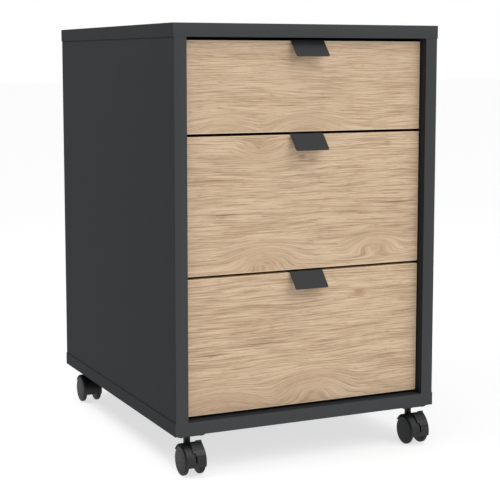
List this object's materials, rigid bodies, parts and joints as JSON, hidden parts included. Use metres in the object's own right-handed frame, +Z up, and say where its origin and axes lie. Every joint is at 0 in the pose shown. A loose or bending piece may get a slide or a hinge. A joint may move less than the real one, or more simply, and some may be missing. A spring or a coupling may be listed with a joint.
{
  "type": "rolling pedestal cabinet",
  "caption": "Rolling under-desk pedestal: dark board carcass with inset oak-decor drawers on roller runners, bent-plate edge pulls and twin-wheel swivel castors.",
  "frame": {"origin": "on the floor, under the middle of the cabinet's overall box", "axes": "+Z up, -Y towards the drawer fronts, +X to the right seen from the front"},
  "size_m": [0.4, 0.4884, 0.599],
  "materials": {
    "dark_melamine": "satin melamine, very dark grey",
    "hardboard": "lacquered hardboard, dark grey",
    "oak_decor": "oak decor, matt, horizontal grain",
    "drawer_board": "foil-wrapped board, grey",
    "drawer_bottom_board": "lacquered hardboard, grey",
    "beech": "bare beech",
    "zinc_steel": "zinc plated",
    "plate_steel": "black passivated",
    "runner_steel": "epoxy coated, black",
    "pull_coat": "powder coated, fine texture, graphite",
    "black_nylon": "moulded, fine satin",
    "roller_plastic": "moulded, white",
    "brake_plastic": "moulded, satin"
  },
  "bodies": {
    "carcass": {"top_panel": "dark_melamine", "bottom_panel": "dark_melamine", "left_side_panel": "dark_melamine", "right_side_panel": "dark_melamine", "back_panel": "hardboard", "dowels": "beech", "cabinet_runners": "runner_steel", "castor_plates": "plate_steel", "castor_kingpins": "zinc_steel"},
    "bottom_drawer": {"bottom_drawer_front": "oak_decor", "bottom_drawer_pull": "pull_coat", "bottom_drawer_right_side": "drawer_board", "bottom_drawer_left_side": "drawer_board", "bottom_drawer_back": "drawer_board", "bottom_drawer_bottom": "drawer_bottom_board", "bottom_drawer_runners": "runner_steel"},
    "bottom_drawer_rollers": {"bottom_drawer_rollers": "roller_plastic"},
    "bottom_drawer_bay_rollers": {"bottom_drawer_bay_rollers": "roller_plastic"},
    "middle_drawer": {"middle_drawer_front": "oak_decor", "middle_drawer_pull": "pull_coat", "middle_drawer_right_side": "drawer_board", "middle_drawer_left_side": "drawer_board", "middle_drawer_back": "drawer_board", "middle_drawer_bottom": "drawer_bottom_board", "middle_drawer_runners": "runner_steel"},
    "middle_drawer_rollers": {"middle_drawer_rollers": "roller_plastic"},
    "middle_drawer_bay_rollers": {"middle_drawer_bay_rollers": "roller_plastic"},
    "top_drawer": {"top_drawer_front": "oak_decor", "top_drawer_pull": "pull_coat", "top_drawer_right_side": "drawer_board", "top_drawer_left_side": "drawer_board", "top_drawer_back": "drawer_board", "top_drawer_bottom": "drawer_bottom_board", "top_drawer_runners": "runner_steel"},
    "top_drawer_rollers": {"top_drawer_rollers": "roller_plastic"},
    "top_drawer_bay_rollers": {"top_drawer_bay_rollers": "roller_plastic"},
    "front_left_castor": {"front_left_castor_housing": "black_nylon", "front_left_castor_axle": "zinc_steel"},
    "front_left_castor_left_wheel": {"front_left_castor_left_wheel": "black_nylon"},
    "front_left_castor_right_wheel": {"front_left_castor_right_wheel": "black_nylon"},
    "front_left_castor_brake_lever": {"front_left_castor_brake_lever": "brake_plastic"},
    "front_right_castor": {"front_right_castor_housing": "black_nylon", "front_right_castor_axle": "zinc_steel"},
    "front_right_castor_left_wheel": {"front_right_castor_left_wheel": "black_nylon"},
    "front_right_castor_right_wheel": {"front_right_castor_right_wheel": "black_nylon"},
    "front_right_castor_brake_lever": {"front_right_castor_brake_lever": "brake_plastic"},
    "rear_left_castor": {"rear_left_castor_housing": "black_nylon", "rear_left_castor_axle": "zinc_steel"},
    "rear_left_castor_left_wheel": {"rear_left_castor_left_wheel": "black_nylon"},
    "rear_left_castor_right_wheel": {"rear_left_castor_right_wheel": "black_nylon"},
    "rear_right_castor": {"rear_right_castor_housing": "black_nylon", "rear_right_castor_axle": "zinc_steel"},
    "rear_right_castor_left_wheel": {"rear_right_castor_left_wheel": "black_nylon"},
    "rear_right_castor_right_wheel": {"rear_right_castor_right_wheel": "black_nylon"}
  },
  "joints": [
    {"name": "bottom_drawer_slide", "type": "slide", "parent": "carcass", "child": "bottom_drawer", "axis": [0, -1, 0], "range_m": [0, 0.3]},
    {"name": "bottom_drawer_roller_turn", "type": "hinge", "parent": "bottom_drawer", "child": "bottom_drawer_rollers", "pos_m": [0, 0.18475, 0.0993], "axis": [1, 0, 0], "range_deg": [0, 1911.4]},
    {"name": "bottom_drawer_bay_roller_turn", "type": "hinge", "parent": "carcass", "child": "bottom_drawer_bay_rollers", "pos_m": [0, -0.18925, 0.0993], "axis": [1, 0, 0], "range_deg": [0, 1911.4]},
    {"name": "middle_drawer_slide", "type": "slide", "parent": "carcass", "child": "middle_drawer", "axis": [0, -1, 0], "range_m": [0, 0.3]},
    {"name": "middle_drawer_roller_turn", "type": "hinge", "parent": "middle_drawer", "child": "middle_drawer_rollers", "pos_m": [0, 0.18475, 0.2878], "axis": [1, 0, 0], "range_deg": [0, 1911.4]},
    {"name": "middle_drawer_bay_roller_turn", "type": "hinge", "parent": "carcass", "child": "middle_drawer_bay_rollers", "pos_m": [0, -0.18925, 0.2878], "axis": [1, 0, 0], "range_deg": [0, 1911.4]},
    {"name": "top_drawer_slide", "type": "slide", "parent": "carcass", "child": "top_drawer", "axis": [0, -1, 0], "range_m": [0, 0.3]},
    {"name": "top_drawer_roller_turn", "type": "hinge", "parent": "top_drawer", "child": "top_drawer_rollers", "pos_m": [0, 0.18475, 0.4763], "axis": [1, 0, 0], "range_deg": [0, 1911.4]},
    {"name": "top_drawer_bay_roller_turn", "type": "hinge", "parent": "carcass", "child": "top_drawer_bay_rollers", "pos_m": [0, -0.18925, 0.4763], "axis": [1, 0, 0], "range_deg": [0, 1911.4]},
    {"name": "front_left_castor_swivel", "type": "hinge", "parent": "carcass", "child": "front_left_castor", "pos_m": [-0.174, -0.20875, 0.056], "axis": [0, 0, 1], "continuous": true},
    {"name": "front_left_castor_left_wheel_spin", "type": "hinge", "parent": "front_left_castor", "child": "front_left_castor_left_wheel", "pos_m": [-0.174, -0.22125, 0.02], "axis": [1, 0, 0], "continuous": true},
    {"name": "front_left_castor_right_wheel_spin", "type": "hinge", "parent": "front_left_castor", "child": "front_left_castor_right_wheel", "pos_m": [-0.174, -0.22125, 0.02], "axis": [1, 0, 0], "continuous": true},
    {"name": "front_left_castor_brake_lever_press", "type": "hinge", "parent": "front_left_castor", "child": "front_left_castor_brake_lever", "pos_m": [-0.174, -0.23427, 0.03093], "axis": [-1, 0, 0], "range_deg": [0, 8]},
    {"name": "front_right_castor_swivel", "type": "hinge", "parent": "carcass", "child": "front_right_castor", "pos_m": [0.174, -0.20875, 0.056], "axis": [0, 0, 1], "continuous": true},
    {"name": "front_right_castor_left_wheel_spin", "type": "hinge", "parent": "front_right_castor", "child": "front_right_castor_left_wheel", "pos_m": [0.174, -0.22125, 0.02], "axis": [1, 0, 0], "continuous": true},
    {"name": "front_right_castor_right_wheel_spin", "type": "hinge", "parent": "front_right_castor", "child": "front_right_castor_right_wheel", "pos_m": [0.174, -0.22125, 0.02], "axis": [1, 0, 0], "continuous": true},
    {"name": "front_right_castor_brake_lever_press", "type": "hinge", "parent": "front_right_castor", "child": "front_right_castor_brake_lever", "pos_m": [0.174, -0.23427, 0.03093], "axis": [-1, 0, 0], "range_deg": [0, 8]},
    {"name": "rear_left_castor_swivel", "type": "hinge", "parent": "carcass", "child": "rear_left_castor", "pos_m": [-0.174, 0.22025, 0.056], "axis": [0, 0, 1], "continuous": true},
    {"name": "rear_left_castor_left_wheel_spin", "type": "hinge", "parent": "rear_left_castor", "child": "rear_left_castor_left_wheel", "pos_m": [-0.174, 0.20775, 0.02], "axis": [1, 0, 0], "continuous": true},
    {"name": "rear_left_castor_right_wheel_spin", "type": "hinge", "parent": "rear_left_castor", "child": "rear_left_castor_right_wheel", "pos_m": [-0.174, 0.20775, 0.02], "axis": [1, 0, 0], "continuous": true},
    {"name": "rear_right_castor_swivel", "type": "hinge", "parent": "carcass", "child": "rear_right_castor", "pos_m": [0.174, 0.22025, 0.056], "axis": [0, 0, 1], "continuous": true},
    {"name": "rear_right_castor_left_wheel_spin", "type": "hinge", "parent": "rear_right_castor", "child": "rear_right_castor_left_wheel", "pos_m": [0.174, 0.20775, 0.02], "axis": [1, 0, 0], "continuous": true},
    {"name": "rear_right_castor_right_wheel_spin", "type": "hinge", "parent": "rear_right_castor", "child": "rear_right_castor_right_wheel", "pos_m": [0.174, 0.20775, 0.02], "axis": [1, 0, 0], "continuous": true}
  ],
  "couplings": [
    {"joint": "bottom_drawer_roller_turn", "follows": "bottom_drawer_slide", "rad_per_m": 111.11},
    {"joint": "bottom_drawer_bay_roller_turn", "follows": "bottom_drawer_slide", "rad_per_m": 111.11},
    {"joint": "middle_drawer_roller_turn", "follows": "middle_drawer_slide", "rad_per_m": 111.11},
    {"joint": "middle_drawer_bay_roller_turn", "follows": "middle_drawer_slide", "rad_per_m": 111.11},
    {"joint": "top_drawer_roller_turn", "follows": "top_drawer_slide", "rad_per_m": 111.11},
    {"joint": "top_drawer_bay_roller_turn", "follows": "top_drawer_slide", "rad_per_m": 111.11}
  ]
}
